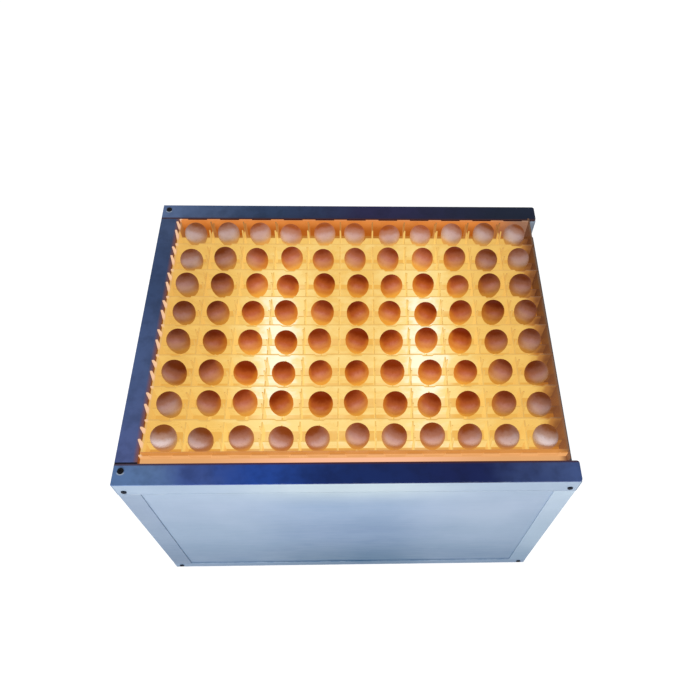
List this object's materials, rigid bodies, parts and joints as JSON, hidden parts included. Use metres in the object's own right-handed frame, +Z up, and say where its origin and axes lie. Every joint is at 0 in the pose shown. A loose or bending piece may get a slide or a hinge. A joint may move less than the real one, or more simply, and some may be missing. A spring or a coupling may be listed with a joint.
{
  "type": "egg candling lamp",
  "caption": "Table-top light box for candling eggs, with guide rails round a lit plate and a slide-out tray of prong-sided cells filled with eggs.",
  "frame": {"origin": "centre of the housing's footprint, on the plane that the feet stand on", "axes": "+Z up, +X towards the open end where the tray comes out, front at -Y"},
  "size_m": [0.671, 0.5355, 0.4633],
  "materials": {
    "body_metal": "satin",
    "panel_metal": "satin",
    "strip_navy": "satin",
    "plug_black": "matte",
    "screw_black": "satin",
    "screw_steel": "satin",
    "lamp_white_metal": "satin",
    "lamp_white_plastic": "satin",
    "tube_opal": "gloss",
    "cap_metal": "satin",
    "chip_yellow": "gloss",
    "inlet_black": "satin",
    "rocker_black": "gloss",
    "blade_metal": "satin",
    "wire_cover": "satin",
    "foot_rubber": "matte",
    "plate_opal": "satin",
    "tray_amber": "gloss",
    "eggshell": "satin"
  },
  "bodies": {
    "housing": {"front_rail": "body_metal", "back_rail": "body_metal", "left_rail": "body_metal", "right_crossbar": "body_metal", "front_left_post": "body_metal", "front_right_post": "body_metal", "back_left_post": "body_metal", "back_right_post": "body_metal", "bottom_front_rail": "body_metal", "bottom_back_rail": "body_metal", "bottom_left_rail": "body_metal", "bottom_right_rail": "body_metal", "front_ledge": "body_metal", "back_ledge": "body_metal", "left_ledge": "body_metal", "right_ledge": "body_metal", "plate_stop": "body_metal", "base_sheet": "body_metal", "front_panel": "panel_metal", "back_panel": "panel_metal", "left_panel": "panel_metal", "right_panel": "panel_metal", "front_cap_strip": "strip_navy", "back_cap_strip": "strip_navy", "left_cap_strip": "strip_navy", "rail_end_plugs": "plug_black", "cap_screws": "screw_black", "frame_screws": "screw_black", "inlet_screws": "screw_steel", "bar_screws": "screw_steel", "batten_screws": "screw_steel", "foot_screws": "screw_steel", "earth_stud": "screw_steel", "front_lamp_bar": "screw_steel", "back_lamp_bar": "screw_steel", "left_batten": "lamp_white_metal", "right_batten": "lamp_white_metal", "lampholders": "lamp_white_plastic", "terminal_block": "lamp_white_plastic", "left_tube": "tube_opal", "right_tube": "tube_opal", "tube_caps": "cap_metal", "led_boards": "cap_metal", "led_chips": "chip_yellow", "power_inlet": "inlet_black", "switch_body": "inlet_black", "inlet_pins": "blade_metal", "inlet_wires": "wire_cover", "switch_wires": "wire_cover", "lamp_wires": "wire_cover", "rubber_feet": "foot_rubber", "lit_plate": "plate_opal"},
    "tray": {"egg_tray": "tray_amber", "eggs": "eggshell"},
    "rocker": {"switch_rocker": "rocker_black"}
  },
  "joints": [
    {"name": "tray_slide", "type": "slide", "parent": "housing", "child": "tray", "axis": [1, 0, 0], "range_m": [0, 0.3]},
    {"name": "switch_rock", "type": "hinge", "parent": "housing", "child": "rocker", "pos_m": [0.1505, 0.26175, 0.095], "axis": [1, 0, 0], "range_deg": [0, 22]}
  ]
}
